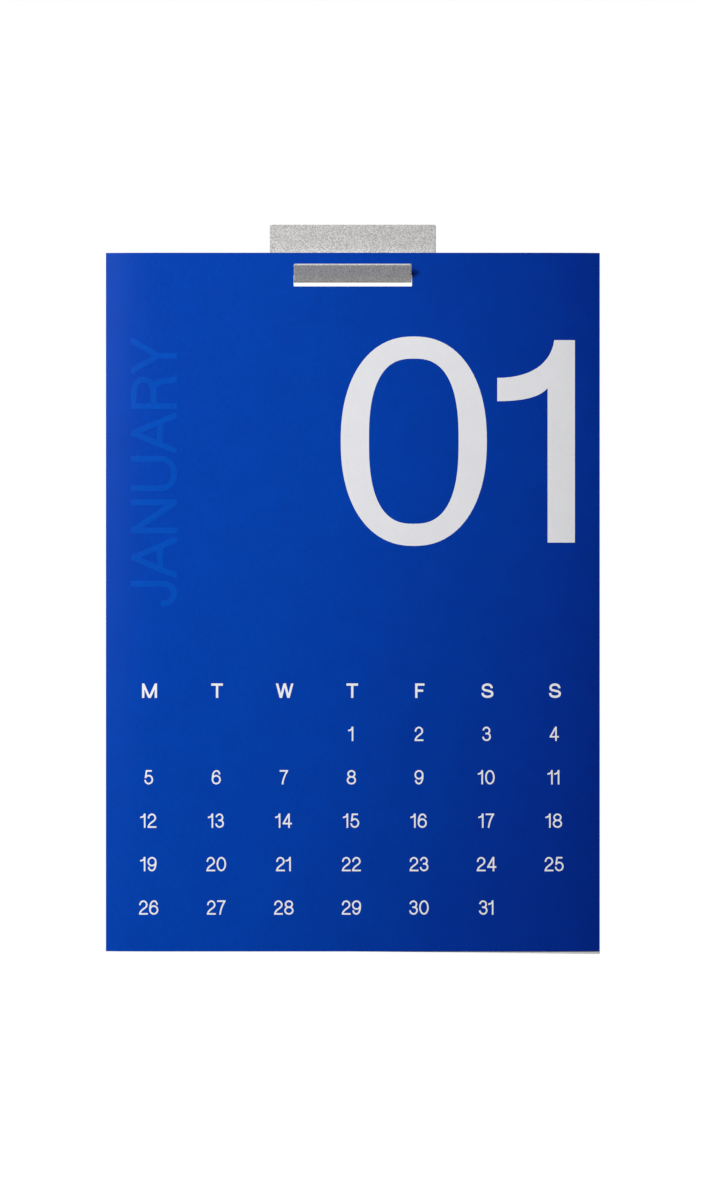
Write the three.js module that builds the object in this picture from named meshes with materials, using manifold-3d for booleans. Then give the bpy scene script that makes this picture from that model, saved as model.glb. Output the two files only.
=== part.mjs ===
// A wall calendar: loose month sheets hang by a punched slot on the upturned tongue of a
// folded steel holder, which is stuck flat to the wall.
//
// Millimetres, +Z up, the calendar faces -Y. The origin lies on the wall, at the middle of the
// holder's mounting pad. The holder's outline is cut flat, its tongue is folded forward and up
// about one bend line, and the sheets lean in the throat between the plate and the tongue.
import * as THREE from 'three';
import { mergeVertices } from 'three/addons/utils/BufferGeometryUtils.js';
import Module from 'manifold-3d';

// Wall holder: sheet steel, folded once
const STEEL_THICKNESS = 1.5;
const PLATE_WIDTH = 100;
const PLATE_HEIGHT = 29.5;
const PLATE_CORNER_RADIUS = 1.2;
const TONGUE_WIDTH = 70.8;
const TONGUE_ROOT_FILLET = 1.5;
const TONGUE_ROOT_LENGTH = 3;
const TONGUE_REACH = 12.6;
const TONGUE_CORNER_RADIUS = 1;
const TONGUE_LEAN_DEG = 38;
const BEND_INNER_RADIUS = 1;

// Mounting pad between the plate and the wall
const PAD_THICKNESS = 1;
const PAD_MARGIN = 3;
const PAD_CORNER_RADIUS = 2;

// Month sheets: DIN A3 card with a slot punched near the top edge
const SHEET_WIDTH = 297;
const SHEET_HEIGHT = 420;
const SHEET_THICKNESS = 0.3;
const SHEET_COUNT = 12;
const SLOT_HEIGHT = 7.35;
const SLOT_TOP_MARGIN = 12.9;
const SLOT_CORNER_RADIUS = 0.6;

// How the loose sheets lie on each other: their edges stray a little, and their foot is trimmed
// a touch out of square, so the pile shows below the front sheet at its right-hand corner
const EDGE_STRAY = 0.12;
const STRAY_STEP = 0.618;
const FOOT_DROP = 1.6;

// Clearances
const SLOT_SIDE_CLEARANCE = 0.2;
const HANG_CLEARANCE = 0.3;
const SHEET_AIR = 0.1;

// Neighbouring sheets of the pile press into each other by this much
const PRESSED_DEPTH = 0.02;

// Facets of each rounded corner, and of the bend
const CORNER_SEGMENTS = 4;
const BEND_SEGMENTS = 12;

// Depths from the wall, along -Y
const plateBack = PAD_THICKNESS;
const plateFront = plateBack + STEEL_THICKNESS;
const laterSheets = SHEET_COUNT - 1;
const pileBack = plateFront + SHEET_AIR;
const pileFront = pileBack + laterSheets * SHEET_THICKNESS;
const frontSheetBack = pileFront + SHEET_AIR;
const frontSheetFace = frontSheetBack + SHEET_THICKNESS;

// Heights from the middle of the plate and its pad
const plateTop = PLATE_HEIGHT / 2;
const plateFoot = -PLATE_HEIGHT / 2;
const bendLine = plateFoot - TONGUE_ROOT_LENGTH;

// Fold: the tongue leaves the bend leaning forward of vertical
const lean = THREE.MathUtils.degToRad(TONGUE_LEAN_DEG);
const bendCentre = new THREE.Vector2(-(plateFront + BEND_INNER_RADIUS), bendLine);
const tongueDirection = new THREE.Vector2(-Math.sin(lean), Math.cos(lean));
const tongueOutward = new THREE.Vector2(-Math.cos(lean), -Math.sin(lean));
const tongueStart = bendCentre.clone().addScaledVector(tongueOutward, BEND_INNER_RADIUS);

// The front sheet's face meets the tongue's inner side where the slot's upper edge hangs
const contactReach = (-frontSheetFace - tongueStart.x) / tongueDirection.x;
const contactHeight = tongueStart.y + contactReach * tongueDirection.y;
const slotTop = contactHeight + HANG_CLEARANCE / Math.sin(lean);
const slotWidth = TONGUE_WIDTH + 2 * SLOT_SIDE_CLEARANCE;
const sheetTop = slotTop + SLOT_TOP_MARGIN;

const wasm = await Module();
wasm.setup();

// Colours as they look in even light
const materials = {
  steel: new THREE.MeshStandardMaterial({ color: 0xc5c3c2, roughness: 0.62, metalness: 0.1 }),
  pad: new THREE.MeshStandardMaterial({ color: 0xe8e8e4, roughness: 0.9, metalness: 0 }),
  print: new THREE.MeshStandardMaterial({ color: 0x003aa2, roughness: 0.55, metalness: 0 }),
  card: new THREE.MeshStandardMaterial({ color: 0xf0eeea, roughness: 0.8, metalness: 0 }),
};

// Shapes drawn as seen from the front, extruded towards the viewer, start at this distance
// from the wall
function facingForward(geometry, distance) {
  const frontView = new THREE.Matrix4().makeBasis(
    new THREE.Vector3(1, 0, 0),
    new THREE.Vector3(0, 0, 1),
    new THREE.Vector3(0, -1, 0),
  );
  frontView.setPosition(0, -distance, 0);
  return geometry.applyMatrix4(frontView);
}

function extrudeForward(shape, distance, thickness) {
  const settings = { depth: thickness, bevelEnabled: false, curveSegments: CORNER_SEGMENTS };
  return facingForward(new THREE.ExtrudeGeometry(shape, settings), distance);
}

// A rectangle with its corners rounded, drawn anticlockwise
function traceRoundedRectangle(path, left, bottom, right, top, radius) {
  path.moveTo(left + radius, bottom);
  path.lineTo(right - radius, bottom);
  path.absarc(right - radius, bottom + radius, radius, -Math.PI / 2, 0, false);
  path.lineTo(right, top - radius);
  path.absarc(right - radius, top - radius, radius, 0, Math.PI / 2, false);
  path.lineTo(left + radius, top);
  path.absarc(left + radius, top - radius, radius, Math.PI / 2, Math.PI, false);
  path.lineTo(left, bottom + radius);
  path.absarc(left + radius, bottom + radius, radius, Math.PI, 1.5 * Math.PI, false);
}

function toSolid(geometry) {
  const bare = geometry.clone();
  bare.deleteAttribute('normal');
  bare.deleteAttribute('uv');
  const merged = mergeVertices(bare, 1e-5);
  return new wasm.Manifold(new wasm.Mesh({
    numProp: 3,
    vertProperties: new Float32Array(merged.attributes.position.array),
    triVerts: new Uint32Array(merged.index.array),
  }));
}

function toGeometry(solid) {
  const mesh = solid.getMesh();
  const geometry = new THREE.BufferGeometry();
  geometry.setAttribute('position', new THREE.BufferAttribute(mesh.vertProperties, 3));
  geometry.setIndex(new THREE.BufferAttribute(mesh.triVerts, 1));
  geometry.computeVertexNormals();
  return geometry;
}

// The plate as cut: a rounded rectangle whose foot runs into the tongue's root with a fillet
function plateOutline() {
  const side = PLATE_WIDTH / 2;
  const corner = PLATE_CORNER_RADIUS;
  const root = TONGUE_WIDTH / 2;
  const fillet = TONGUE_ROOT_FILLET;
  const outline = new THREE.Shape();
  outline.moveTo(-root, bendLine);
  outline.lineTo(root, bendLine);
  outline.lineTo(root, plateFoot - fillet);
  outline.absarc(root + fillet, plateFoot - fillet, fillet, Math.PI, Math.PI / 2, true);
  outline.lineTo(side - corner, plateFoot);
  outline.absarc(side - corner, plateFoot + corner, corner, -Math.PI / 2, 0, false);
  outline.lineTo(side, plateTop - corner);
  outline.absarc(side - corner, plateTop - corner, corner, 0, Math.PI / 2, false);
  outline.lineTo(-side + corner, plateTop);
  outline.absarc(-side + corner, plateTop - corner, corner, Math.PI / 2, Math.PI, false);
  outline.lineTo(-side, plateFoot + corner);
  outline.absarc(-side + corner, plateFoot + corner, corner, Math.PI, 1.5 * Math.PI, false);
  outline.lineTo(-root - fillet, plateFoot);
  outline.absarc(-root - fillet, plateFoot - fillet, fillet, Math.PI / 2, 0, true);
  return outline;
}

// The fold seen from the side, as depth and height: down the plate, round the bend, up the tongue
function foldProfile(reach) {
  const outerRadius = BEND_INNER_RADIUS + STEEL_THICKNESS;
  const bendEnd = -Math.PI + lean;
  const innerTip = tongueStart.clone().addScaledVector(tongueDirection, reach);
  const outerTip = innerTip.clone().addScaledVector(tongueOutward, STEEL_THICKNESS);
  const profile = new THREE.Shape();
  profile.moveTo(-plateBack, plateFoot);
  profile.lineTo(-plateFront, plateFoot);
  profile.lineTo(-plateFront, bendLine);
  profile.absarc(bendCentre.x, bendCentre.y, BEND_INNER_RADIUS, 0, bendEnd, true);
  profile.lineTo(innerTip.x, innerTip.y);
  profile.lineTo(outerTip.x, outerTip.y);
  profile.absarc(bendCentre.x, bendCentre.y, outerRadius, bendEnd, 0, false);
  return profile;
}

// The tongue's outline as cut, laid in the tongue's own plane and reaching past the bend
function tongueOutline(reachBelow) {
  const side = TONGUE_WIDTH / 2;
  const corner = TONGUE_CORNER_RADIUS;
  const outline = new THREE.Shape();
  outline.moveTo(-side, -reachBelow);
  outline.lineTo(side, -reachBelow);
  outline.lineTo(side, TONGUE_REACH - corner);
  outline.absarc(side - corner, TONGUE_REACH - corner, corner, 0, Math.PI / 2, false);
  outline.lineTo(-side + corner, TONGUE_REACH);
  outline.absarc(-side + corner, TONGUE_REACH - corner, corner, Math.PI / 2, Math.PI, false);
  return outline;
}

function makeWallHolder() {
  const plate = extrudeForward(plateOutline(), plateBack, STEEL_THICKNESS);

  const spare = STEEL_THICKNESS;
  const bendSettings = { depth: PLATE_WIDTH, bevelEnabled: false, curveSegments: BEND_SEGMENTS };
  const fold = new THREE.ExtrudeGeometry(foldProfile(TONGUE_REACH + spare), bendSettings);
  const sideView = new THREE.Matrix4().makeBasis(
    new THREE.Vector3(0, 1, 0),
    new THREE.Vector3(0, 0, 1),
    new THREE.Vector3(1, 0, 0),
  );
  sideView.setPosition(-PLATE_WIDTH / 2, 0, 0);
  fold.applyMatrix4(sideView);

  const trimDepth = 4 * PLATE_HEIGHT;
  const trimSettings = { depth: trimDepth, bevelEnabled: false, curveSegments: CORNER_SEGMENTS };
  const trim = new THREE.ExtrudeGeometry(tongueOutline(PLATE_HEIGHT), trimSettings);
  const tongueView = new THREE.Matrix4().makeBasis(
    new THREE.Vector3(1, 0, 0),
    new THREE.Vector3(0, tongueDirection.x, tongueDirection.y),
    new THREE.Vector3(0, tongueOutward.x, tongueOutward.y),
  );
  tongueView.setPosition(
    0,
    tongueStart.x - tongueOutward.x * trimDepth / 2,
    tongueStart.y - tongueOutward.y * trimDepth / 2,
  );
  trim.applyMatrix4(tongueView);

  const tongue = toSolid(fold).intersect(toSolid(trim));
  return toGeometry(toSolid(plate).add(tongue));
}

function makeAdhesivePad() {
  const side = PLATE_WIDTH / 2 - PAD_MARGIN;
  const top = plateTop - PAD_MARGIN;
  const bottom = plateFoot + PAD_MARGIN;
  const outline = new THREE.Shape();
  traceRoundedRectangle(outline, -side, bottom, side, top, PAD_CORNER_RADIUS);
  return extrudeForward(outline, 0, PAD_THICKNESS);
}

// A sheet before punching. stray shifts it a little sideways and down, drop lowers its right foot.
function sheetOutline(stray, drop) {
  const left = -SHEET_WIDTH / 2 + stray;
  const right = SHEET_WIDTH / 2 + stray;
  const top = sheetTop - Math.abs(stray);
  const foot = top - SHEET_HEIGHT;
  const outline = new THREE.Shape();
  outline.moveTo(left, foot);
  outline.lineTo(0, foot);
  outline.lineTo(right, foot - drop);
  outline.lineTo(right, top);
  outline.lineTo(left, top);
  return outline;
}

function traceSlot(path) {
  const side = slotWidth / 2;
  const bottom = slotTop - SLOT_HEIGHT;
  traceRoundedRectangle(path, -side, bottom, side, slotTop, SLOT_CORNER_RADIUS);
}

function makeFrontSheet() {
  const outline = sheetOutline(0, 0);
  const slot = new THREE.Path();
  traceSlot(slot);
  outline.holes.push(slot);
  return extrudeForward(outline, frontSheetBack, SHEET_THICKNESS);
}

// The later months lie pressed together, each strayed a little from its neighbour, and the slot
// is punched through them all
function makeFollowingSheets() {
  let pile = null;
  for (let index = 0; index < laterSheets; index += 1) {
    const fromRear = index / laterSheets;
    const stray = EDGE_STRAY * (2 * ((index * STRAY_STEP) % 1) - 1);
    const outline = sheetOutline(stray, FOOT_DROP * (1 - fromRear));
    const distance = pileBack + index * SHEET_THICKNESS;
    const pressed = index === laterSheets - 1 ? 0 : PRESSED_DEPTH;
    const sheet = toSolid(extrudeForward(outline, distance, SHEET_THICKNESS + pressed));
    pile = pile === null ? sheet : pile.add(sheet);
  }
  const slot = new THREE.Shape();
  traceSlot(slot);
  const punchStart = pileBack - SHEET_THICKNESS;
  const punchDepth = pileFront - pileBack + 2 * SHEET_THICKNESS;
  const punch = toSolid(extrudeForward(slot, punchStart, punchDepth));
  return toGeometry(pile.subtract(punch));
}

function makePart(name, geometry, material) {
  const part = new THREE.Mesh(geometry, material);
  part.name = name;
  return part;
}

const calendar = new THREE.Group();
calendar.name = 'wall_calendar';
calendar.add(makePart('wall_holder', makeWallHolder(), materials.steel));
calendar.add(makePart('adhesive_pad', makeAdhesivePad(), materials.pad));
calendar.add(makePart('front_sheet', makeFrontSheet(), materials.print));
calendar.add(makePart('following_sheets', makeFollowingSheets(), materials.card));

export default calendar;
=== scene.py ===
# Looks of a wall calendar: loose A3 month sheets hung by a slot on a folded steel holder.
# Everything is in metres. The calendar faces -Y, the wall is on +Y and +Z is up.
import math

import bmesh
import bpy
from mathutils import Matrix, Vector
from mathutils.geometry import delaunay_2d_cdt


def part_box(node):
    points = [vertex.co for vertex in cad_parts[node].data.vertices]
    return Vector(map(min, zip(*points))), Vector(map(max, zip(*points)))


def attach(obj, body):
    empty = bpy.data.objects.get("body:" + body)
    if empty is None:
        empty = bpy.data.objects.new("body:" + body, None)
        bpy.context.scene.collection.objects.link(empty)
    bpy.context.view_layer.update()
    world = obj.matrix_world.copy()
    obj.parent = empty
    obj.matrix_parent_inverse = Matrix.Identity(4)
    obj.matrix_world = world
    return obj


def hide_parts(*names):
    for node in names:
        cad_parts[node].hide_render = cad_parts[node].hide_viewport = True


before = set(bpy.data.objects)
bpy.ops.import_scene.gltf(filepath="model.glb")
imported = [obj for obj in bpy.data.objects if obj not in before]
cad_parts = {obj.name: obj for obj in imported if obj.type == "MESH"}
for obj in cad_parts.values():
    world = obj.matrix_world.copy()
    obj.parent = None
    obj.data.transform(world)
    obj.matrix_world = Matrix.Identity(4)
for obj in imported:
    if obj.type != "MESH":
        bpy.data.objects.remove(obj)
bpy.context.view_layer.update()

MM = 0.001

# Wall holder, as it is cut and folded
STEEL = 1.5 * MM
BEND_INNER_RADIUS = 1.0 * MM
BEND_OUTER_RADIUS = BEND_INNER_RADIUS + STEEL
TONGUE_WIDTH = 70.8 * MM
TONGUE_REACH = 12.0 * MM
TONGUE_LEAN = math.radians(40.2)
TONGUE_CORNER = 1.0 * MM
TONGUE_ROOT = 3.0 * MM
TONGUE_FILLET = 1.5 * MM
PLATE_CORNER = 1.2 * MM
STEEL_EDGE_ROUND = 0.38 * MM
STEEL_EDGE_FACETS = 3
BEND_FACETS = 26

# Mounting pad
PAD_CORNER = 2.0 * MM
PAD_EDGE_ROUND = 0.2 * MM
PAD_EDGE_FACETS = 2

# Month sheets, with a little air between them. The later ones stray sideways by up to
# EDGE_STRAY. Their right foot hangs lower, the rearmost by FOOT_DROP, and those before it by
# up to the share FOOT_FAN less
SHEET_COUNT = 12
SHEET_AIR = 0.02 * MM
SLOT_WIDTH = 71.2 * MM
SLOT_HEIGHT = 7.35 * MM
SLOT_BELOW_TOP = 12.9 * MM
SLOT_CORNER = 0.6 * MM
EDGE_STRAY = 0.12 * MM
STRAY_STEP = 0.618
FOOT_DROP = 1.6 * MM
FOOT_FAN = 0.3

# The side margins of the pile relax towards the wall
MARGIN_START = 108 * MM
MARGIN_RELAX = 2.1 * MM
MARGIN_POWER = 3
MARGIN_CUTS = 14

# Painted shade: the blue print is darker towards the right, away from the lamp, and towards
# the head and foot. Where the painted shade is deepest, this share of each colour is left
PAINTED_SHADE_TONE = (1.0, 0.42, 0.64, 1.0)
LIGHTEST_HEIGHT = -0.115
SHADE_UP_AND_DOWN = 0.25
SHADE_START = -0.06
SHADE_END = 0.26

# Print: its film stands this far proud of the card and reaches this far into it
INK_PROUD = 0.03 * MM
INK_SUNK = 0.01 * MM

# Where the print stands, from the sheet's centre line and down from its top edge
NUMBER_ZERO_CENTRE = (36.65 * MM, 113.3 * MM)
NUMBER_ZERO_OUTER = (43.9 * MM, 62.95 * MM)
NUMBER_ZERO_INNER = (26.95 * MM, 49.65 * MM)
ZERO_OUTER_SQUARENESS = 2.24
ZERO_INNER_SQUARENESS = 2.6
NUMBER_ONE_LEFT = 86.85 * MM
NUMBER_ONE_TOP = 52.55 * MM
NUMBER_ONE_HEIGHT = 121.7 * MM
NUMBER_ONE_WIDTH = 46.65 * MM
NUMBER_ONE_STEM = 16.4 * MM
NUMBER_ONE_HEAD = 12.4 * MM
NUMBER_ONE_FLAG_DOWN = 22.7 * MM
NUMBER_ONE_FLAG_DEPTH = 14.0 * MM
NUMBER_ONE_JOIN_DOWN = 28.8 * MM
MONTH_NAME = "JANUARY"
MONTH_CAP_HEIGHT = 27.7 * MM
MONTH_BASELINE = -105.7 * MM
MONTH_START = 212.6 * MM
MONTH_STROKE = 0.126
COLUMN_PITCH = 40.62 * MM
ROW_PITCH = 26.1 * MM
WEEKDAYS = "MTWTFSS"
WEEKDAY_FIRST = -122.2 * MM
WEEKDAY_MIDDLE = 263.25 * MM
WEEKDAY_HEIGHT = 8.7 * MM
WEEKDAY_STROKE = 0.156
DATE_FIRST = -122.7 * MM
DATE_MIDDLE = 289.2 * MM
DATE_HEIGHT = 8.6 * MM
DATE_STROKE = 0.11
FIRST_DATE_COLUMN = 3
DAYS_IN_MONTH = 31

# The photograph's frame
PHOTO_WIDTH = 715
PHOTO_HEIGHT = 1180
PHOTO_SHEET_LEFT = 105.75
PHOTO_SHEET_RIGHT = 599.85
PHOTO_SHEET_TOP = 252.7
CAMERA_DISTANCE = 3.0
SENSOR = 36
CLIP_START = 0.05

# Studio. Each lamp has its place, what it aims at, its width and height, its watts and its
# spread in degrees
LAMPS = {
    "key": ((-0.88, -1.2, 0.72), (-0.34, 0, -0.85), (0.42, 0.5), 20.3, 140),
    "left_strip": ((-0.62, -1.45, 0.1), (0, 0, -0.2), (0.18, 0.6), 3.1, 180),
}
FLOOR_BELOW = 2.5
FLOOR_HALF = 1.1

# The world's soft light on the object. As a direction's Z, or its Y, goes through the first
# span, the strength goes through the second
ABOVE_SPAN = (0.1, 0.9)
ABOVE_STRENGTH = (0.02, 0.3)
BEHIND_SPAN = (0.15, 0.6)
BEHIND_STRENGTH = (0.0, 0.75)

# Materials: how many grains, clouds, fibres or pores there are to a metre
STEEL_GRAIN = 1450
STEEL_FLECKS = 2100
STEEL_MOTTLE = 160
CARD_CLOUD = 55
CARD_FIBRE = 900
FOAM_PORES = 2600
FOAM_MOTTLE = 700
FLOOR_MOTTLE = 6

# A noise seldom leaves this part of its range
NOISE_LOW = 0.3
NOISE_HIGH = 0.7

# Modelling: facets of a rounded corner, lengths and angles below which points, planes and
# edges count as one, and the angle above which an edge is a rim
CORNER_STEPS = 5
OVERLAY_TOLERANCE = 1e-6
CUT_TOLERANCE = 1e-8
OUTLINE_SCALE = 0.1
RIM_ANGLE = math.radians(60)
OUTLINE_FLATNESS = math.radians(1)
LETTER_FLATNESS = math.radians(0.5)
FLAT_FACE_WEIGHT = 80

holder_low, holder_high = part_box("wall_holder")
pad_low, pad_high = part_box("adhesive_pad")
sheet_low, sheet_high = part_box("front_sheet")
pile_low, pile_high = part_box("following_sheets")
plate_back = pad_low.y
bend_line = holder_low.z + BEND_OUTER_RADIUS
sheet_width = sheet_high.x - sheet_low.x
sheet_height = sheet_high.z - sheet_low.z
sheet_face = sheet_low.y
sheet_top = sheet_high.z


# Outlines, as lists of (x, z) points

def arc(centre, radii, start, end, steps):
    """Points on an ellipse from one angle to another, in degrees anticlockwise from +X."""
    points = []
    for index in range(steps + 1):
        angle = math.radians(start + (end - start) * index / steps)
        points.append((
            centre[0] + radii[0] * math.cos(angle),
            centre[1] + radii[1] * math.sin(angle),
        ))
    return points


def curve(start, handle_out, handle_in, end, steps=8):
    """Points on a cubic Bezier curve."""
    points = []
    for index in range(steps + 1):
        t = index / steps
        weights = ((1 - t) ** 3, 3 * t * (1 - t) ** 2, 3 * t * t * (1 - t), t ** 3)
        corners = (start, handle_out, handle_in, end)
        points.append((
            sum(w * p[0] for w, p in zip(weights, corners)),
            sum(w * p[1] for w, p in zip(weights, corners)),
        ))
    return points


def squared_ellipse(centre, radii, squareness, steps=96):
    """An ellipse at squareness 2, and nearer to its box with more."""
    points = []
    for index in range(steps):
        angle = 2 * math.pi * index / steps
        across = math.cos(angle)
        up = math.sin(angle)
        points.append((
            centre[0] + radii[0] * math.copysign(abs(across) ** (2 / squareness), across),
            centre[1] + radii[1] * math.copysign(abs(up) ** (2 / squareness), up),
        ))
    return points


def rounded_rectangle(left, bottom, right, top, radius, steps=CORNER_STEPS):
    size = (radius, radius)
    return (
        arc((right - radius, bottom + radius), size, -90, 0, steps)
        + arc((right - radius, top - radius), size, 0, 90, steps)
        + arc((left + radius, top - radius), size, 90, 180, steps)
        + arc((left + radius, bottom + radius), size, 180, 270, steps)
    )


# Flat shapes, thickened into closed slabs

# The kind of result of delaunay_2d_cdt
FACES_A_MESH_CAN_HOLD = 4


def flat_shape(loops, wanted, scale):
    """Overlays closed loops in the XZ plane. Each face made knows the loops that it lies in,
    as a list of their numbers, and is kept where that list is wanted."""
    points = []
    faces = []
    for loop in loops:
        faces.append([len(points) + index for index in range(len(loop))])
        points += [Vector(point) / scale for point in loop]
    found = delaunay_2d_cdt(points, [], faces, FACES_A_MESH_CAN_HOLD, OVERLAY_TOLERANCE)
    places, face_list, origins = found[0], found[2], found[5]
    shape = bmesh.new()
    corners = {}
    for face, origin in zip(face_list, origins):
        if not wanted(origin):
            continue
        for index in face:
            if index not in corners:
                place = places[index] * scale
                corners[index] = shape.verts.new((place.x, 0, place.y))
        shape.faces.new([corners[index] for index in face])
    return shape


def filled(outline, holes=(), scale=OUTLINE_SCALE):
    """The inside of an outline, apart from its holes."""
    return flat_shape([outline, *holes], lambda origin: origin == [0], scale)


def merge_flat(shape, flatness):
    """Joins the faces that lie in one plane, and the edges in one line, within an angle."""
    bmesh.ops.dissolve_limit(
        shape, angle_limit=flatness, verts=shape.verts[:], edges=shape.edges[:],
    )


def cut(shape, place, normal, trim=False):
    """Cuts the faces along a plane, and with trim takes away what lies past it."""
    bmesh.ops.bisect_plane(
        shape, geom=shape.verts[:] + shape.edges[:] + shape.faces[:], dist=CUT_TOLERANCE,
        plane_co=place, plane_no=normal, clear_outer=trim,
    )


def cut_across(shape, normal, places):
    for place in places:
        cut(shape, normal * place, normal)


def thicken(shape, front, back):
    """Turns flat faces at y = 0 into closed slabs from y = front to y = back."""
    for vertex in shape.verts:
        vertex.co.y = back
    made = bmesh.ops.extrude_face_region(shape, geom=shape.faces[:], use_keep_orig=True)
    for element in made["geom"]:
        if isinstance(element, bmesh.types.BMVert):
            element.co.y = front
    bmesh.ops.recalc_face_normals(shape, faces=shape.faces[:])


def as_object(name, shape, *materials):
    mesh = bpy.data.meshes.new(name)
    shape.to_mesh(mesh)
    shape.free()
    for material in materials:
        mesh.materials.append(material)
    piece = bpy.data.objects.new(name, mesh)
    bpy.context.collection.objects.link(piece)
    return piece


def smooth_shading(piece):
    """Rounded edges shade smoothly while the large flat faces stay flat."""
    for polygon in piece.data.polygons:
        polygon.use_smooth = True
    weighted = piece.modifiers.new("flat_faces_lead", "WEIGHTED_NORMAL")
    weighted.mode = "FACE_AREA"
    weighted.weight = FLAT_FACE_WEIGHT


# Materials

def new_material(name, roughness, specular):
    material = bpy.data.materials.new(name)
    material.use_nodes = True
    shader = material.node_tree.nodes["Principled BSDF"]
    shader.inputs["Roughness"].default_value = roughness
    shader.inputs["Specular IOR Level"].default_value = specular
    return material, material.node_tree, shader


def linear(red, green, blue):
    """A colour given as it looks on screen, from 0 to 255, as the shader wants it."""
    channels = []
    for value in (red, green, blue):
        share = value / 255
        channels.append(share / 12.92 if share < 0.04045 else ((share + 0.055) / 1.055) ** 2.4)
    return (*channels, 1.0)


def noise(tree, scale, detail, roughness=0.5, stretch=(1, 1, 1)):
    coordinates = tree.nodes.new("ShaderNodeTexCoord")
    mapping = tree.nodes.new("ShaderNodeMapping")
    mapping.inputs["Scale"].default_value = stretch
    texture = tree.nodes.new("ShaderNodeTexNoise")
    texture.inputs["Scale"].default_value = scale
    texture.inputs["Detail"].default_value = detail
    texture.inputs["Roughness"].default_value = roughness
    tree.links.new(coordinates.outputs["Object"], mapping.inputs["Vector"])
    tree.links.new(mapping.outputs["Vector"], texture.inputs["Vector"])
    return texture.outputs["Fac"]


def ramp(tree, source, *stops):
    """A colour ramp whose stops are (position, colour)."""
    node = tree.nodes.new("ShaderNodeValToRGB")
    elements = node.color_ramp.elements
    while len(elements) < len(stops):
        elements.new(0.5)
    for element, (position, colour) in zip(elements, stops):
        element.position = position
        element.color = colour
    tree.links.new(source, node.inputs["Fac"])
    return node.outputs["Color"]


def blended(tree, mode, factor, first, second):
    node = tree.nodes.new("ShaderNodeMix")
    node.data_type = "RGBA"
    node.blend_type = mode
    node.inputs["Factor"].default_value = factor
    tree.links.new(first, node.inputs["A"])
    tree.links.new(second, node.inputs["B"])
    return node.outputs["Result"]


def calculated(tree, operation, *values):
    """A math node's result. Its values are numbers or other nodes' outputs."""
    node = tree.nodes.new("ShaderNodeMath")
    node.operation = operation
    for socket, value in zip(node.inputs, values):
        if isinstance(value, bpy.types.NodeSocket):
            tree.links.new(value, socket)
        else:
            socket.default_value = value
    return node.outputs[0]


def map_range(tree, source, inside, outside, interpolation="LINEAR"):
    """Maps the span inside to the span outside."""
    node = tree.nodes.new("ShaderNodeMapRange")
    node.interpolation_type = interpolation
    node.inputs["From Min"].default_value, node.inputs["From Max"].default_value = inside
    node.inputs["To Min"].default_value, node.inputs["To Max"].default_value = outside
    tree.links.new(source, node.inputs["Value"])
    return node.outputs["Result"]


def spread(tree, source, low, high):
    """Maps a noise to low..high."""
    return map_range(tree, source, (NOISE_LOW, NOISE_HIGH), (low, high))


def bump(tree, shader, height, strength, distance, under=None):
    node = tree.nodes.new("ShaderNodeBump")
    node.inputs["Strength"].default_value = strength
    node.inputs["Distance"].default_value = distance
    tree.links.new(height, node.inputs["Height"])
    if under is not None:
        tree.links.new(under, node.inputs["Normal"])
    tree.links.new(node.outputs["Normal"], shader.inputs["Normal"])
    return node.outputs["Normal"]


def coated_steel():
    """Powder coat: a pale grey with a fine sandy grain in relief and tone."""
    material, tree, shader = new_material("coated_steel", roughness=0.6, specular=0.3)
    grain = noise(tree, STEEL_GRAIN, detail=2.5, roughness=0.62)
    flecks = noise(tree, STEEL_FLECKS, detail=1.0)
    mottle = noise(tree, STEEL_MOTTLE, detail=2.0)
    fine = ramp(
        tree, grain, (NOISE_LOW, linear(164, 162, 161)), (0.5, linear(223, 221, 220)),
        (NOISE_HIGH, linear(254, 253, 252)),
    )
    speckle = ramp(tree, flecks, (0.58, linear(226, 226, 226)), (0.68, linear(255, 255, 255)))
    cloud = ramp(
        tree, mottle, (NOISE_LOW, linear(247, 247, 247)), (NOISE_HIGH, linear(255, 255, 255)),
    )
    grained = blended(tree, "MULTIPLY", 1.0, fine, speckle)
    tree.links.new(
        blended(tree, "MULTIPLY", 1.0, grained, cloud), shader.inputs["Base Color"],
    )
    tree.links.new(spread(tree, grain, 0.52, 0.7), shader.inputs["Roughness"])
    broad = bump(tree, shader, grain, strength=0.5, distance=0.12 * MM)
    bump(tree, shader, flecks, strength=0.35, distance=0.06 * MM, under=broad)
    return material


def ink_drift(tree, shade_tone):
    """Painted shade: a multiplier that falls from white to shade_tone across the sheet, away
    from the lamp, and a little up and down it from its lightest height."""
    coordinates = tree.nodes.new("ShaderNodeTexCoord")
    place = tree.nodes.new("ShaderNodeSeparateXYZ")
    tree.links.new(coordinates.outputs["Object"], place.inputs["Vector"])
    above = calculated(tree, "SUBTRACT", place.outputs["Z"], LIGHTEST_HEIGHT)
    away = calculated(tree, "ABSOLUTE", above)
    along = calculated(tree, "MULTIPLY_ADD", away, SHADE_UP_AND_DOWN, place.outputs["X"])
    share = map_range(
        tree, along, (SHADE_START, SHADE_END), (0, 1), interpolation="SMOOTHSTEP",
    )
    return ramp(tree, share, (0.0, (1, 1, 1, 1)), (1.0, shade_tone))


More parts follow.
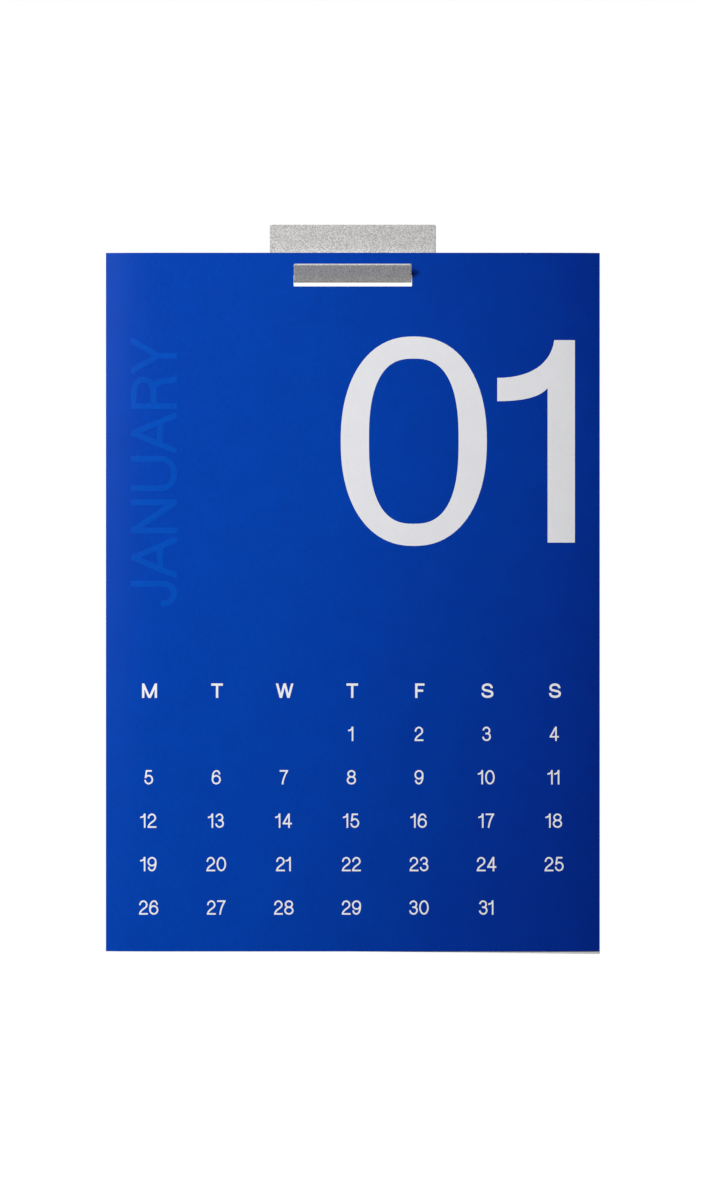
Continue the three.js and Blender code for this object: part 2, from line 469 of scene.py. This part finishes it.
def card(name, dark, light, roughness, specular, depth=14, shade_tone=None):
    """Card: a faint mottle of tone over fine short fibres, up to depth darker than the tone.
    With a shade tone, painted shade darkens it towards that tone across the sheet."""
    material, tree, shader = new_material(name, roughness, specular)
    cloud = noise(tree, CARD_CLOUD, detail=3.0)
    fibre = noise(tree, CARD_FIBRE, detail=3.0, roughness=0.6, stretch=(1, 1, 0.45))
    tone = ramp(tree, cloud, (NOISE_LOW, dark), (NOISE_HIGH, light))
    if shade_tone is not None:
        # painted shade, darker away from the lamp
        tone = blended(tree, "MULTIPLY", 1.0, tone, ink_drift(tree, shade_tone))
    low = 255 - depth
    weave = ramp(
        tree, fibre, (NOISE_LOW, linear(low, low, low)), (NOISE_HIGH, linear(255, 255, 255)),
    )
    tree.links.new(blended(tree, "MULTIPLY", 1.0, tone, weave), shader.inputs["Base Color"])
    tree.links.new(
        spread(tree, fibre, roughness - 0.04, roughness + 0.05), shader.inputs["Roughness"],
    )
    bump(tree, shader, fibre, strength=0.25, distance=0.03 * MM)
    return material


def pad_foam():
    """Closed-cell foam, with fine pores."""
    material, tree, shader = new_material("pad_foam", roughness=0.85, specular=0.2)
    pores = tree.nodes.new("ShaderNodeTexVoronoi")
    coordinates = tree.nodes.new("ShaderNodeTexCoord")
    pores.inputs["Scale"].default_value = FOAM_PORES
    tree.links.new(coordinates.outputs["Object"], pores.inputs["Vector"])
    tone = ramp(
        tree, pores.outputs["Distance"], (0.0, linear(205, 204, 198)),
        (0.5, linear(236, 235, 230)),
    )
    tree.links.new(tone, shader.inputs["Base Color"])
    mottle = noise(tree, FOAM_MOTTLE, detail=2.0)
    tree.links.new(spread(tree, mottle, 0.78, 0.92), shader.inputs["Roughness"])
    bump(tree, shader, pores.outputs["Distance"], strength=0.4, distance=0.08 * MM)
    return material


steel_finish = coated_steel()
foam_finish = pad_foam()
# The blue card carries painted shade, darker towards the right, head and foot
blue_card = card(
    "printed_card", linear(0, 65, 176), linear(0, 68, 181), roughness=0.31, specular=0.06,
    shade_tone=PAINTED_SHADE_TONE,
)
white_card = card(
    "white_card", linear(237, 236, 232), linear(244, 242, 239), roughness=0.75, specular=0.2,
)
white_ink = card(
    "white_print", linear(237, 237, 241), linear(240, 240, 244), roughness=0.5, specular=0.1,
    depth=4,
)
small_white_ink = card(
    "white_print_small", linear(248, 248, 250), linear(250, 250, 252), roughness=0.5,
    specular=0.1, depth=3,
)
# The tonal print carries the same painted shade as the blue card
tonal_ink = card(
    "blue_print", linear(0, 77, 187), linear(0, 80, 192), roughness=0.31, specular=0.06,
    shade_tone=PAINTED_SHADE_TONE,
)


# The holder: its blank is cut flat, then folded

def holder_blank():
    """The outline as cut, before folding, so the tongue hangs straight down."""
    side = (holder_high.x - holder_low.x) / 2
    top = holder_high.z
    foot = bend_line + TONGUE_ROOT
    root = TONGUE_WIDTH / 2
    tip = bend_line - bend_length() - TONGUE_REACH
    corner = (PLATE_CORNER, PLATE_CORNER)
    fillet = (TONGUE_FILLET, TONGUE_FILLET)
    tip_corner = (TONGUE_CORNER, TONGUE_CORNER)
    right = (
        arc((root - TONGUE_CORNER, tip + TONGUE_CORNER), tip_corner, -90, 0, CORNER_STEPS)
        + arc((root + TONGUE_FILLET, foot - TONGUE_FILLET), fillet, 180, 90, CORNER_STEPS)
        + arc((side - PLATE_CORNER, foot + PLATE_CORNER), corner, -90, 0, CORNER_STEPS)
        + arc((side - PLATE_CORNER, top - PLATE_CORNER), corner, 0, 90, CORNER_STEPS)
    )
    left = [(-x, z) for x, z in reversed(right)]
    return right + left


def bend_length():
    """Arc length of the fold, measured along the middle of the steel."""
    return (math.pi - TONGUE_LEAN) * (BEND_INNER_RADIUS + STEEL / 2)


def fold(vertex):
    """Moves a point of the flat blank to its place on the folded holder."""
    below = bend_line - vertex.co.z
    if below <= 0:
        return
    turn = math.pi - TONGUE_LEAN
    angle = turn * min(below / bend_length(), 1)
    centre_depth = plate_back - BEND_OUTER_RADIUS
    radius = vertex.co.y - centre_depth
    depth = centre_depth + radius * math.cos(angle)
    height = bend_line - radius * math.sin(angle)
    beyond = max(below - bend_length(), 0)
    vertex.co.y = depth - beyond * math.sin(TONGUE_LEAN)
    vertex.co.z = height + beyond * math.cos(TONGUE_LEAN)


def round_edges(shape, radius, segments):
    """Rounds the rims of a flat slab, front and back."""
    rims = [edge for edge in shape.edges if edge.calc_face_angle(0) > RIM_ANGLE]
    bmesh.ops.bevel(
        shape, geom=rims, offset=radius, segments=segments, profile=0.5,
        affect="EDGES", clamp_overlap=True,
    )


def make_holder():
    shape = filled(holder_blank())
    bends = [
        bend_line - bend_length() * index / BEND_FACETS for index in range(BEND_FACETS + 1)
    ]
    merge_flat(shape, OUTLINE_FLATNESS)
    cut_across(shape, Vector((0, 0, 1)), bends)
    thicken(shape, plate_back - STEEL, plate_back)
    round_edges(shape, STEEL_EDGE_ROUND, STEEL_EDGE_FACETS)
    for vertex in shape.verts:
        fold(vertex)
    piece = as_object("folded_holder", shape, steel_finish)
    smooth_shading(piece)
    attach(piece, "root")
    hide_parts("wall_holder")


def make_pad():
    outline = rounded_rectangle(pad_low.x, pad_low.z, pad_high.x, pad_high.z, PAD_CORNER)
    shape = filled(outline)
    merge_flat(shape, OUTLINE_FLATNESS)
    thicken(shape, pad_low.y, pad_high.y)
    round_edges(shape, PAD_EDGE_ROUND, PAD_EDGE_FACETS)
    piece = as_object("foam_pad", shape, foam_finish)
    smooth_shading(piece)
    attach(piece, "root")
    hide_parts("adhesive_pad")


# The sheets, and the print on the front one

def relax(x):
    """How far the pile lies back towards the wall at this distance from its middle."""
    beyond = max(abs(x) - MARGIN_START, 0) / (sheet_width / 2 - MARGIN_START)
    return MARGIN_RELAX * beyond ** MARGIN_POWER


def margin_places():
    """Where the side margins bend, from MARGIN_START out to the edge."""
    step = (sheet_width / 2 - MARGIN_START) / MARGIN_CUTS
    places = [MARGIN_START + index * step for index in range(MARGIN_CUTS)]
    return places + [-place for place in places]


def hang_back(shape):
    for vertex in shape.verts:
        vertex.co.y += relax(vertex.co.x)


def sheet_shape(stray, drop, front, back):
    """One sheet with its slot, from y = front to y = back. stray shifts its sides, and drop
    lowers its right foot."""
    side = sheet_width / 2
    top = sheet_top - abs(stray)
    foot = top - sheet_height
    outline = [
        (-side + stray, foot), (0, foot), (side + stray, foot - drop),
        (side + stray, top), (-side + stray, top),
    ]
    slot_top = sheet_top - SLOT_BELOW_TOP
    slot = rounded_rectangle(
        -SLOT_WIDTH / 2, slot_top - SLOT_HEIGHT, SLOT_WIDTH / 2, slot_top, SLOT_CORNER,
    )
    shape = filled(outline, [slot])
    cut_across(shape, Vector((1, 0, 0)), margin_places())
    thicken(shape, front, back)
    hang_back(shape)
    return shape


def make_front_sheet():
    shape = sheet_shape(0, 0, sheet_low.y, sheet_high.y)
    piece = as_object("month_sheet_01", shape, blue_card, white_card)
    for polygon in piece.data.polygons:
        printed = polygon.normal.y < -0.5
        polygon.material_index = 0 if printed else 1
    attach(piece, "root")
    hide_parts("front_sheet")


def make_following_sheets():
    later = SHEET_COUNT - 1
    pitch = (pile_high.y - pile_low.y) / later
    for index in range(later):
        stray = EDGE_STRAY * (2 * ((index * STRAY_STEP) % 1) - 1)
        drop = FOOT_DROP * (1 - FOOT_FAN * index / later)
        back = pile_high.y - index * pitch
        shape = sheet_shape(stray, drop, back - pitch + SHEET_AIR, back)
        piece = as_object("month_sheet_%02d" % (SHEET_COUNT - index), shape, white_card)
        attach(piece, "root")
        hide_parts("following_sheets")


def ribbon(points, width):
    """The quads of a stroke of even width along a line of points."""
    line = [Vector(point) for point in points]
    rails = []
    for index, point in enumerate(line):
        before = line[max(index - 1, 0)]
        after = line[min(index + 1, len(line) - 1)]
        first = (point - before) if index > 0 else (after - point)
        second = (after - point) if index < len(line) - 1 else first
        across = (first.normalized() + second.normalized()).normalized().orthogonal()
        rails.append((point + across * width / 2, point - across * width / 2))
    return [
        (rails[i][0], rails[i][1], rails[i + 1][1], rails[i + 1][0])
        for i in range(len(rails) - 1)
    ]


# Letterforms of a plain sans serif. Each has its width and side gaps, as shares of its height,
# and the middle lines of its strokes in a unit box. A stroke that ends flat on an edge of the
# letter runs past the box and is trimmed.
PAST = 1.4
FORMS = {
    "0": (0.664, 0.048, 0.048, [arc((0.5, 0.5), (0.5, 0.5), 0, 360, 32)]),
    "1": (0.365, 0.0, 0.1, [
        [(1, -PAST), (1, PAST)],
        curve((-PAST, 0.745), (0.2, 0.745), (0.85, 0.76), (0.98, 1.05)),
    ]),
    "2": (0.615, 0.048, 0.048, [
        arc((0.49, 0.70), (0.47, 0.30), 185, 0, 14)
        + curve((0.96, 0.70), (0.96, 0.42), (0.04, 0.38), (0.0, -0.02), 10)[1:],
        [(-PAST, 0), (PAST, 0)],
    ]),
    "3": (0.60, 0.048, 0.048, [
        arc((0.48, 0.755), (0.44, 0.245), 178, -60, 14)
        + curve((0.70, 0.543), (0.6, 0.52), (0.5, 0.525), (0.33, 0.525), 4)[1:],
        curve((0.33, 0.525), (0.7, 0.525), (1.0, 0.5), (1.0, 0.27))
        + arc((0.5, 0.27), (0.5, 0.27), 0, -180, 14)[1:],
    ]),
    "4": (0.65, 0.048, 0.048, [
        [(0.74, -PAST), (0.74, PAST)],
        [(-0.07, 0.27), (PAST, 0.27)],
        [(0.76, 1.08), (-0.02, 0.24)],
    ]),
    "5": (0.62, 0.048, 0.048, [
        [(0.16, 1.0), (0.93, 1.0)],
        [(0.22, 1.07), (0.07, 0.44)],
        arc((0.5, 0.315), (0.5, 0.315), 152, -176, 24),
    ]),
    "6": (0.635, 0.048, 0.048, [
        arc((0.5, 0.31), (0.5, 0.31), 0, 360, 28),
        curve((0.0, 0.31), (0.0, 0.8), (0.2, 1.0), (0.54, 1.0), 12)
        + curve((0.54, 1.0), (0.76, 1.0), (0.91, 0.9), (0.95, 0.72), 6)[1:],
    ]),
    "7": (0.59, 0.048, 0.048, [
        [(-PAST, 1.0), (PAST, 1.0)],
        curve((1.03, 1.02), (0.6, 0.65), (0.36, 0.3), (0.3, -0.12), 10),
    ]),
    "8": (0.65, 0.048, 0.048, [
        arc((0.5, 0.762), (0.43, 0.238), 0, 360, 28),
        arc((0.5, 0.265), (0.5, 0.265), 0, 360, 28),
    ]),
    "9": (0.63, 0.048, 0.048, [
        arc((0.5, 0.69), (0.5, 0.31), 0, 360, 28),
        curve((1.0, 0.69), (1.0, 0.2), (0.8, 0.0), (0.46, 0.0), 12)
        + curve((0.46, 0.0), (0.24, 0.0), (0.09, 0.1), (0.05, 0.28), 6)[1:],
    ]),
    "A": (0.87, 0.0, 0.0, [
        [(-0.1, -0.2), (0.5, 1.02), (0.5, 1.3)],
        [(1.1, -0.2), (0.5, 1.02), (0.5, 1.3)],
        [(0.16, 0.35), (0.84, 0.35)],
    ]),
    "F": (0.64, 0.05, 0.05, [
        [(0, -PAST), (0, PAST)],
        [(0, 1.0), (PAST, 1.0)],
        [(0, 0.5), (0.98, 0.5)],
    ]),
    "J": (0.555, 0.0, 0.07, [
        [(1, PAST), (1, 0.3)] + arc((0.5, 0.28), (0.5, 0.28), 0, -180, 16) + [(0, 0.33)],
    ]),
    "M": (1.03, 0.05, 0.05, [
        [(0, -PAST), (0, PAST)],
        [(1, -PAST), (1, PAST)],
        [(0.0, 1.06), (0.5, -0.1)],
        [(1.0, 1.06), (0.5, -0.1)],
    ]),
    "N": (0.74, 0.088, 0.088, [
        [(0, -PAST), (0, PAST)],
        [(1, -PAST), (1, PAST)],
        [(-0.02, 1.05), (1.02, -0.05)],
    ]),
    "R": (0.745, 0.088, 0.011, [
        [(0, -PAST), (0, PAST)],
        [(0, 1.0), (0.55, 1.0)] + arc((0.55, 0.755), (0.38, 0.245), 90, -90, 14)
        + [(0, 0.51)],
        curve((0.45, 0.51), (0.85, 0.51), (0.86, 0.38), (0.88, 0.2), 8)
        + curve((0.88, 0.2), (0.89, 0.1), (0.92, 0.0), (0.99, -0.1), 4)[1:],
    ]),
    "S": (0.83, 0.05, 0.05, [
        curve((0.95, 0.70), (0.93, 0.90), (0.76, 1.0), (0.50, 1.0))
        + curve((0.50, 1.0), (0.23, 1.0), (0.05, 0.90), (0.05, 0.74))[1:]
        + curve((0.05, 0.74), (0.05, 0.52), (0.30, 0.55), (0.52, 0.495))[1:]
        + curve((0.52, 0.495), (0.78, 0.44), (1.0, 0.43), (1.0, 0.24))[1:]
        + curve((1.0, 0.24), (1.0, 0.08), (0.76, 0.0), (0.51, 0.0))[1:]
        + curve((0.51, 0.0), (0.22, 0.0), (0.01, 0.10), (0.0, 0.31))[1:],
    ]),
    "T": (0.80, 0.05, 0.05, [
        [(0.5, -PAST), (0.5, PAST)],
        [(-PAST, 1.0), (PAST, 1.0)],
    ]),
    "U": (0.767, 0.088, 0.06, [
        [(0, PAST), (0, 0.32)] + arc((0.5, 0.32), (0.5, 0.32), 180, 360, 20)
        + [(1, 0.32), (1, PAST)],
    ]),
    "W": (1.2, 0.05, 0.05, [
        [(-0.04, 1.25), (0.25, -0.1)],
        [(0.5, 1.14), (0.25, -0.1)],
        [(0.5, 1.14), (0.75, -0.1)],
        [(1.04, 1.25), (0.75, -0.1)],
    ]),
    "Y": (0.8, 0.0, 0.0, [
        [(-0.06, 1.15), (0.5, 0.4), (0.5, 0.3)],
        [(1.06, 1.15), (0.5, 0.4), (0.5, 0.3)],
        [(0.5, 0.42), (0.5, -PAST)],
    ]),
}


def letter_shape(letter, height, stroke):
    """One letter as a flat bmesh with its lower left corner at the origin."""
    width, _, _, strokes = FORMS[letter]
    across = width - stroke
    up = 1 - stroke
    quads = []
    for middle_line in strokes:
        placed = [(stroke / 2 + x * across, stroke / 2 + y * up) for x, y in middle_line]
        quads += ribbon(without_repeats(placed), stroke)
    quads = [[corner * height for corner in quad] for quad in quads]
    shape = flat_shape(quads, lambda origin: len(origin) > 0, height)
    for normal, place in (
        (Vector((-1, 0, 0)), 0), (Vector((1, 0, 0)), width),
        (Vector((0, 0, -1)), 0), (Vector((0, 0, 1)), 1),
    ):
        cut(shape, normal * place * height, normal, trim=True)
    merge_flat(shape, LETTER_FLATNESS)
    bmesh.ops.triangulate(shape, faces=shape.faces[:])
    return shape


def without_repeats(points):
    kept = [points[0]]
    for point in points[1:]:
        if math.dist(point, kept[-1]) > 1e-5:
            kept.append(point)
    return kept


def word_extent(word):
    """Length of a word with its side gaps, as a share of its height."""
    return sum(sum(FORMS[letter][:3]) for letter in word)


def word_shapes(word, height, stroke):
    """(letter shape, its distance along the word) for each letter."""
    place = 0
    shapes = []
    for letter in word:
        width, left_gap, right_gap, _ = FORMS[letter]
        shapes.append((letter_shape(letter, height, stroke), place + left_gap * height))
        place += (left_gap + width + right_gap) * height
    return shapes


def add_moved(target, shape, move):
    """Adds one flat shape to another, each corner placed by move."""
    copies = {vertex: target.verts.new(move(vertex.co)) for vertex in shape.verts}
    for face in shape.faces:
        target.faces.new([copies[vertex] for vertex in face.verts])
    shape.free()


def add_centred_word(target, word, height, stroke, middle_x, middle_down):
    """Sets a word upright, centred on a place on the sheet."""
    left = middle_x - word_extent(word) * height / 2
    foot = sheet_top - middle_down - height / 2
    for shape, place in word_shapes(word, height, stroke):
        start = left + place
        add_moved(target, shape, lambda co: (co.x + start, 0, co.z + foot))


def print_piece(name, shape, ink):
    """Lays flat print on the front sheet, following its margins."""
    cut_across(shape, Vector((1, 0, 0)), margin_places())
    thicken(shape, sheet_face - INK_PROUD, sheet_face + INK_SUNK)
    hang_back(shape)
    piece = as_object(name, shape, ink)
    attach(piece, "root")


def one_outline():
    """The large figure one: an upright stem whose flag sweeps up into its top."""
    left = NUMBER_ONE_LEFT
    right = left + NUMBER_ONE_WIDTH
    top = sheet_top - NUMBER_ONE_TOP
    foot = top - NUMBER_ONE_HEIGHT
    stem_left = right - NUMBER_ONE_STEM
    top_left = right - NUMBER_ONE_HEAD
    flag_top = top - NUMBER_ONE_FLAG_DOWN
    flag_foot = flag_top - NUMBER_ONE_FLAG_DEPTH
    join = top - NUMBER_ONE_JOIN_DOWN
    upper = curve(
        (left, flag_top), (left + 20 * MM, flag_top), (top_left - 2 * MM, top - 14.4 * MM),
        (top_left, top), 14,
    )
    lower = curve(
        (stem_left, join), (stem_left - 4.1 * MM, join - 4.8 * MM),
        (stem_left - 12.6 * MM, flag_foot), (left, flag_foot), 12,
    )
    return [(right, top), (right, foot), (stem_left, foot)][::-1] + upper[::-1] + lower[::-1]


def make_month_number():
    centre = (NUMBER_ZERO_CENTRE[0], sheet_top - NUMBER_ZERO_CENTRE[1])
    outer = squared_ellipse(centre, NUMBER_ZERO_OUTER, ZERO_OUTER_SQUARENESS)
    inner = squared_ellipse(centre, NUMBER_ZERO_INNER, ZERO_INNER_SQUARENESS)
    shape = filled(outer, [inner])
    one = filled(one_outline())
    add_moved(shape, one, lambda co: co.copy())
    print_piece("print_month_number", shape, white_ink)


def make_month_name():
    """The month's name runs up the left margin, its letters lying on their backs."""
    target = bmesh.new()
    start = sheet_top - MONTH_START
    for shape, place in word_shapes(MONTH_NAME, MONTH_CAP_HEIGHT, MONTH_STROKE):
        along = start + place
        add_moved(target, shape, lambda co: (MONTH_BASELINE - co.z, 0, along + co.x))
    print_piece("print_month_name", target, tonal_ink)


def make_weekdays():
    target = bmesh.new()
    for column, letter in enumerate(WEEKDAYS):
        middle = WEEKDAY_FIRST + column * COLUMN_PITCH
        add_centred_word(
            target, letter, WEEKDAY_HEIGHT, WEEKDAY_STROKE, middle, WEEKDAY_MIDDLE,
        )
    print_piece("print_weekdays", target, small_white_ink)


def make_dates():
    target = bmesh.new()
    for day in range(1, DAYS_IN_MONTH + 1):
        row, column = divmod(FIRST_DATE_COLUMN + day - 1, len(WEEKDAYS))
        middle = DATE_FIRST + column * COLUMN_PITCH
        down = DATE_MIDDLE + row * ROW_PITCH
        add_centred_word(target, str(day), DATE_HEIGHT, DATE_STROKE, middle, down)
    print_piece("print_dates", target, small_white_ink)


# Studio

def make_camera():
    """Square on to the sheet, framed as in the photograph."""
    scale = sheet_width / (PHOTO_SHEET_RIGHT - PHOTO_SHEET_LEFT)
    sheet_middle = (PHOTO_SHEET_LEFT + PHOTO_SHEET_RIGHT) / 2
    camera = bpy.data.objects.new("camera", bpy.data.cameras.new("camera"))
    camera.location = (
        (PHOTO_WIDTH / 2 - sheet_middle) * scale,
        sheet_face - CAMERA_DISTANCE,
        sheet_top - (PHOTO_HEIGHT / 2 - PHOTO_SHEET_TOP) * scale,
    )
    camera.rotation_euler = (math.radians(90), 0, 0)
    camera.data.sensor_width = SENSOR
    camera.data.lens = SENSOR * CAMERA_DISTANCE / (PHOTO_HEIGHT * scale)
    camera.data.clip_start = CLIP_START
    bpy.context.collection.objects.link(camera)
    bpy.context.scene.camera = camera


def make_area_light(name, place, target, size, watts, spread):
    light = bpy.data.lights.new(name, "AREA")
    light.shape = "RECTANGLE"
    light.size = size[0]
    light.size_y = size[1]
    light.energy = watts
    light.spread = math.radians(spread)
    lamp = bpy.data.objects.new(name, light)
    lamp.location = place
    lamp.rotation_euler = (Vector(target) - Vector(place)).to_track_quat("-Z", "Y").to_euler()
    bpy.context.collection.objects.link(lamp)


def make_lights():
    for name, settings in LAMPS.items():
        make_area_light(name, *settings)


def make_world():
    """White where the camera, gloss and glass see it. On the object it is a soft light that
    fades from above to below, and a fuller one from behind."""
    world = bpy.data.worlds.new("studio")
    world.use_nodes = True
    tree = world.node_tree
    background = tree.nodes["Background"]
    coordinates = tree.nodes.new("ShaderNodeTexCoord")
    direction = tree.nodes.new("ShaderNodeSeparateXYZ")
    tree.links.new(coordinates.outputs["Generated"], direction.inputs["Vector"])
    above = map_range(tree, direction.outputs["Z"], ABOVE_SPAN, ABOVE_STRENGTH)
    behind = map_range(tree, direction.outputs["Y"], BEHIND_SPAN, BEHIND_STRENGTH)
    soft = calculated(tree, "MAXIMUM", above, behind)
    path = tree.nodes.new("ShaderNodeLightPath")
    seen = calculated(
        tree, "MAXIMUM", path.outputs["Is Camera Ray"], path.outputs["Is Glossy Ray"],
    )
    seen = calculated(tree, "MAXIMUM", seen, path.outputs["Is Transmission Ray"])
    strength = tree.nodes.new("ShaderNodeMapRange")
    strength.inputs["To Max"].default_value = 1.0
    tree.links.new(soft, strength.inputs["To Min"])
    tree.links.new(seen, strength.inputs["Value"])
    tree.links.new(strength.outputs["Result"], background.inputs["Strength"])
    background.inputs["Color"].default_value = (1, 1, 1, 1)
    bpy.context.scene.world = world


def make_floor():
    """A plain pale floor, well below the hung calendar."""
    shape = bmesh.new()
    half = FLOOR_HALF
    corners = [(-half, -half), (half, -half), (half, half), (-half, half)]
    shape.faces.new([shape.verts.new((x, y, -FLOOR_BELOW)) for x, y in corners])
    material, tree, shader = new_material("floor", roughness=0.9, specular=0.1)
    mottle = noise(tree, FLOOR_MOTTLE, detail=2.0)
    tone = ramp(
        tree, mottle, (NOISE_LOW, linear(240, 240, 239)), (NOISE_HIGH, linear(244, 244, 243)),
    )
    tree.links.new(tone, shader.inputs["Base Color"])
    as_object("floor", shape, material)


make_camera()
make_holder()
make_pad()
make_front_sheet()
make_following_sheets()
make_month_number()
make_month_name()
make_weekdays()
make_dates()
make_lights()
make_world()
make_floor()
bpy.context.scene.view_settings.view_transform = "Standard"
